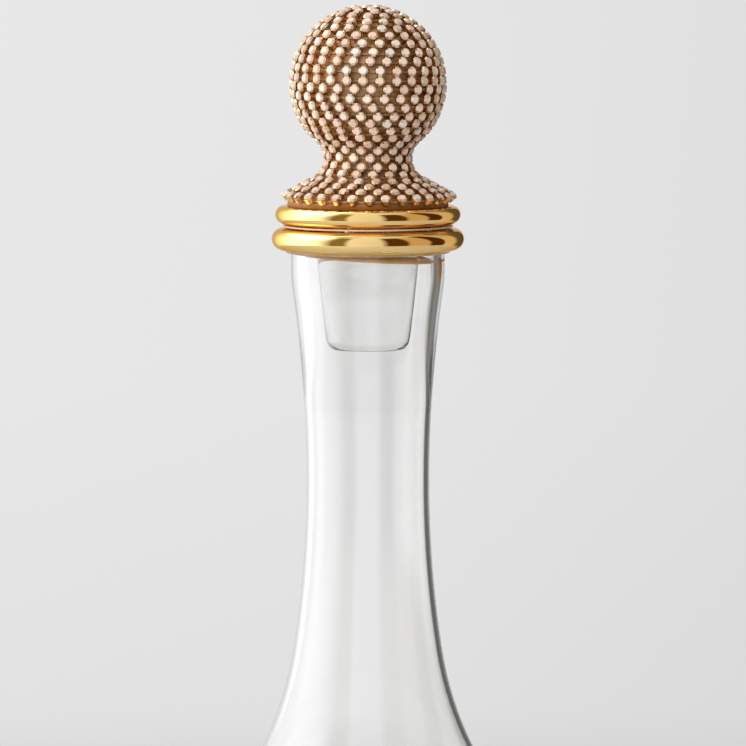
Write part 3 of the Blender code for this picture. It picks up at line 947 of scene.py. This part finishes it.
# %% Track of the chain
CUP_PITCH = 4.33 * MM
GIRDLE_LEVEL = 1.8 * MM
LINK_LEVEL = 2.0 * MM  # where the chain keeps its pitch
SEEN_LEVEL = 2.2 * MM  # where the loops of the table are measured
LOOPS = [  # mm along the track where a loop passes the front, and mm from there to its next stone
    (2.0, 0.0), (4.4, 1.0), (6.8, -2.5), (9.19, 0.0), (11.89, -0.25), (14.52, -0.76), (16.91, 1.26),
    (19.31, -1.51), (21.82, 1.26), (24.27, 0.5), (26.76, -1.26), (29.27, -1.26), (31.4, 0.76),
    (33.85, -0.25), (36.16, 1.26), (38.55, 2.52), (40.53, 0.5), (42.78, 1.52), (45.18, 2.27),
    (47.59, 0.0), (49.66, -1.77), (51.75, 0.51), (54.01, -1.77), (56.13, 1.27), (58.81, 2.02),
    (61.47, 0.25), (63.96, 2.5), (67.1, 0.25), (67.5, 0.25),
]
HALF_LOOP = 0.5  # the chain ends behind, half a loop before the last front
LOOP_STEPS = 720

girdle_track = finial_outline(GIRDLE_LEVEL, ball_steps=400, arc_steps=120)[::-1]
girdle_lengths = [0.0]
for (r0, z0, _), (r1, z1, _) in zip(girdle_track, girdle_track[1:]):
    girdle_lengths.append(girdle_lengths[-1] + math.hypot(r1 - r0, z1 - z0))


def on_track(along, level):
    """Point (r, z) and outward direction (r, z) at a length along the girdle track."""
    i = min(bisect.bisect_right(girdle_lengths, along), len(girdle_lengths) - 1) - 1
    span = girdle_lengths[i + 1] - girdle_lengths[i]
    share = (along - girdle_lengths[i]) / span if span > 0 else 0.0
    r0, z0, lean0 = girdle_track[i]
    r1, z1, lean1 = girdle_track[i + 1]
    lean = lean0 + (lean1 - lean0) * share
    r, z = r0 + (r1 - r0) * share, z0 + (z1 - z0) * share
    out = (math.cos(lean), math.sin(lean))
    move = level - GIRDLE_LEVEL
    return r + out[0] * move, z + out[1] * move, out


loops = len(LOOPS) - 1 - HALF_LOOP
print(f"track {LOOPS[-1][0]:.1f} mm long, {loops} loops")


# %% [markdown]
# The chain was glued by hand, so each loop has slipped a little against the one above it. The
# table says where a stone stands at the front of each loop. Round a loop the stones are
# counted evenly, to the whole number that brings them nearest to the chain's own spacing.
# Each stone's axes are the track's outward direction and the chain's course.

# %% Places of the stones
def spiral_point(turns, level):
    """Point of the chain after some turns, at a level over the core, and the way out there."""
    k = min(int(turns), len(LOOPS) - 2)
    along = LOOPS[k][0] + (LOOPS[k + 1][0] - LOOPS[k][0]) * (turns - k)
    r, z, out = on_track(along * MM, level)
    angle = 2 * math.pi * turns - math.pi / 2
    c, s = math.cos(angle), math.sin(angle)
    return Vector((r * c, r * s, z)), Vector((out[0] * c, out[0] * s, out[1]))


def loop_walk(k):
    """Lengths of chain from the front of loop k, in fine steps, to the front of the next loop."""
    walk = [0.0]
    last = spiral_point(k, LINK_LEVEL)[0]
    for step in range(1, LOOP_STEPS + 1):
        point = spiral_point(k + step / LOOP_STEPS, LINK_LEVEL)[0]
        walk.append(walk[-1] + (point - last).length)
        last = point
    return walk


def front_count(k, near):
    """Stones counted from the chain's start to the front of loop k, close to the number near."""
    link_radius = on_track(LOOPS[k][0] * MM, LINK_LEVEL)[0]
    seen_radius = on_track(LOOPS[k][0] * MM, SEEN_LEVEL)[0]
    part = -LOOPS[k][1] * MM * link_radius / (seen_radius * CUP_PITCH)
    return part + round(near - part)


seats = []
count = front_count(0, 1.0)
length = 0.0
for k in range(len(LOOPS) - 1):
    walk = loop_walk(k)
    count_next = front_count(k + 1, count + walk[-1] / CUP_PITCH)
    per_metre = (count_next - count) / walk[-1]
    number = math.ceil(count)
    for step in range(1, LOOP_STEPS + 1):
        while count + walk[step] * per_metre >= number and number < count_next:
            turns = k + step / LOOP_STEPS
            if turns <= loops:
                place, out = spiral_point(turns, 0.0)
                ahead = spiral_point(turns + 0.5 / LOOP_STEPS, 0.0)[0]
                seats.append((place, out, (ahead - place).normalized()))
            number += 1
    count = count_next
    length += walk[-1]
print(f"{len(seats)} stones, {length:.2f} m of chain")


# %% [markdown]
# One stone is a small brilliant: a flat table, a crown of ten facets, a thin girdle and a
# point below that the cup hides. The cone operator makes it in three parts, which are then
# welded, and its open top is closed by the table.

# %% One stone
STONE_SIDES = 10
STONE_RADIUS = 1.30 * MM
TABLE_RADIUS = 0.80 * MM
TABLE_LEVEL = 2.36 * MM
GIRDLE_TOP = 1.93 * MM
GIRDLE_FOOT = 1.80 * MM
POINT_LEVEL = 1.0 * MM
WELD = 1e-6


def cone(bm, low, high, low_radius, high_radius, sides, caps):
    """Cone frustum between two levels above the core, added to bm."""
    depth = high - low
    bmesh.ops.create_cone(bm, cap_ends=caps, cap_tris=False, segments=sides, radius1=low_radius,
                          radius2=high_radius, depth=depth,
                          matrix=Matrix.Translation((0, 0, low + depth / 2)))


def stone_shape():
    """One stone as a bmesh, with its Z outwards."""
    bm = bmesh.new()
    cone(bm, POINT_LEVEL, GIRDLE_FOOT, 0.0, STONE_RADIUS, STONE_SIDES, False)
    cone(bm, GIRDLE_FOOT, GIRDLE_TOP, STONE_RADIUS, STONE_RADIUS, STONE_SIDES, False)
    cone(bm, GIRDLE_TOP, TABLE_LEVEL, STONE_RADIUS, TABLE_RADIUS, STONE_SIDES, False)
    bmesh.ops.remove_doubles(bm, verts=bm.verts, dist=WELD)
    rim = [e for e in bm.edges if e.is_boundary]
    bmesh.ops.contextual_create(bm, geom=rim)
    bmesh.ops.recalc_face_normals(bm, faces=bm.faces)
    return bm


stone = stone_shape()
print("a stone has", len(stone.faces), "faces")


# %% [markdown]
# A cup is a short tapered tube round the stone's lower half. Four of its rim's faces are drawn
# up into claws that lean in over the girdle.

# %% One cup
CUP_SIDES = 8
CUP_FOOT = 0.12 * MM
CUP_RIM = 1.75 * MM
CUP_FOOT_RADIUS = 1.15 * MM
CUP_RIM_RADIUS = 1.45 * MM
CUP_WALL = 0.24 * MM
CLAW_TOP = 2.24 * MM
CLAW_LEAN = 0.85
CLAW_TAPER = 0.48


def cup_shape():
    """One cup with its claws as a bmesh, with its Z outwards."""
    bm = bmesh.new()
    cone(bm, CUP_FOOT, CUP_RIM, CUP_FOOT_RADIUS, CUP_RIM_RADIUS, CUP_SIDES, True)
    lid = max(bm.faces, key=lambda f: f.calc_center_median().z)
    rim = bmesh.ops.inset_region(bm, faces=[lid], thickness=CUP_WALL, use_even_offset=True)["faces"]
    bmesh.ops.translate(bm, verts=lid.verts, vec=(0, 0, POINT_LEVEL - CUP_RIM))
    claws = [f for i, f in enumerate(sorted(rim, key=angle_of)) if i % 2 == 0]
    drawn = bmesh.ops.extrude_discrete_faces(bm, faces=claws)["faces"]
    for claw in drawn:
        middle = claw.calc_center_median()
        for v in claw.verts:
            narrowed = middle + (v.co - middle) * CLAW_TAPER
            v.co = Vector((narrowed.x * CLAW_LEAN, narrowed.y * CLAW_LEAN, CLAW_TOP))
    return bm


def angle_of(face):
    """Direction of a face's middle round Z, which sorts the faces of the rim."""
    middle = face.calc_center_median()
    return math.atan2(middle.y, middle.x)


cup = cup_shape()
print("a cup has", len(cup.faces), "faces")


# %% [markdown]
# The prototypes are copied to every seat. A copy is turned so that its Z points outwards and
# its X along the chain. Each stone gets a number of its own, kept as an attribute, from which
# the finish makes the small differences in tint between real stones. Each facet gets one too,
# for its shine, and a table gets a high one.

# %% String the chain
TINT_SEED = 5
SHINE_SEED = 11
FACES_OUT = 0.9
TABLE_SHINE = (0.75, 1.0)
CROWN_SHINE = (0.0, 0.6)


def seat_matrix(place, out, course):
    """Matrix that puts a shape at a place, with its Z outwards and its X along the chain."""
    across = out.cross(course).normalized()
    course = across.cross(out).normalized()
    turn = Matrix((course, across, out)).transposed().to_4x4()
    return Matrix.Translation(place) @ turn


def strung(name, shape, seats, material, values, twist):
    """One mesh with a copy of the shape at every seat, and a value for each copy."""
    tint = shape.verts.layers.float.new("stone_tint")
    shine = shape.faces.layers.float.new("facet_shine")
    one = bpy.data.meshes.new(name + "_one")
    bm = bmesh.new()
    dice = random.Random(SHINE_SEED)
    for seat, value in zip(seats, values):
        for v in shape.verts:
            v[tint] = value
        for f in shape.faces:
            low, high = TABLE_SHINE if f.normal.z > FACES_OUT else CROWN_SHINE
            f[shine] = low + (high - low) * dice.random()
        shape.to_mesh(one)
        one.transform(seat_matrix(*seat) @ Matrix.Rotation(twist, 4, "Z"))
        bm.from_mesh(one)
    bpy.data.meshes.remove(one)
    piece = made(name, bm, material)
    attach(piece, "stopper")
    attributes = [a.name for a in piece.data.attributes][-3:]
    print(f"{name}: {len(piece.data.polygons)} faces, attributes {attributes}")
    return piece


dice = random.Random(TINT_SEED)
tints = [dice.random() for _ in seats]


# %% [markdown]
# The stones are pale with a warm cast: cream, blush and a few cooler ones. Real stones flash
# light back from inside, so some facets are bright and some dim. The facet's number does that.

# %% Crystal finish
CRYSTAL_TINTS = [
    (0.0, (0.74, 0.51, 0.36)), (0.25, (0.88, 0.64, 0.47)), (0.5, (0.94, 0.76, 0.61)),
    (0.7, (0.85, 0.58, 0.46)), (0.85, (0.93, 0.71, 0.55)), (1.0, (0.84, 0.74, 0.65)),
]
FLASH = (0.54, 1.08)
CRYSTAL_IOR = 1.6
CRYSTAL_SPECULAR = 0.6

warm_crystal, tree, shader, place = start_finish("warm_crystal")
tint = put(tree, "ShaderNodeAttribute", attribute_name="stone_tint").outputs["Fac"]
shine = put(tree, "ShaderNodeAttribute", attribute_name="facet_shine").outputs["Fac"]
colour = scaled(tree, ramp(tree, tint, CRYSTAL_TINTS), spread(tree, shine, (0.0, 1.0), FLASH))
tree.links.new(colour, shader.inputs["Base Color"])
marks = add_marks(tree, shader, place, scale=900.0, polished=0.06, smudged=0.2)
emboss(tree, shader, marks, depth=0.000004)
shader.inputs["IOR"].default_value = CRYSTAL_IOR
shader.inputs["Specular IOR Level"].default_value = CRYSTAL_SPECULAR
print("crystal finish:", warm_crystal.name)


# %% [markdown]
# Stones and cups are strung on the same seats. Every copy is turned on the spot by half a side.

# %% Stones and cups
chain_stones = strung("chain_stones", stone, seats, warm_crystal, tints,
                      twist=math.pi / STONE_SIDES)
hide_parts("crystal_chain")
strung("chain_cups", cup, seats, gilt_brass, tints, twist=math.pi / CUP_SIDES)
stone.free()
cup.free()


# %% [markdown]
# The links are flat bars between neighbouring cups. A bar is a small box, made once per gap,
# because each gap has its own direction.

# %% Links
LINK_WIDTH = 0.5 * MM
LINK_THICKNESS = 0.3 * MM
LINK_RISE = (CUP_FOOT + LINK_THICKNESS) * 1.2
LINK_ALLOWANCE = 1.6 * CUP_FOOT_RADIUS  # by how much a link is shorter than its gap

bm = bmesh.new()
for (place, out, _), (place_next, out_next, _) in zip(seats, seats[1:]):
    begin, end = place + out * LINK_RISE, place_next + out_next * LINK_RISE
    span = end - begin
    matrix = seat_matrix((begin + end) / 2, (out + out_next).normalized(), span.normalized())
    sides = (span.length - LINK_ALLOWANCE, LINK_WIDTH, LINK_THICKNESS, 1.0)
    bmesh.ops.create_cube(bm, size=1.0, matrix=matrix @ Matrix.Diagonal(sides))
chain_links = made("chain_links", bm, antique_gold)
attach(chain_links, "stopper")
print("links:", len(seats) - 1)
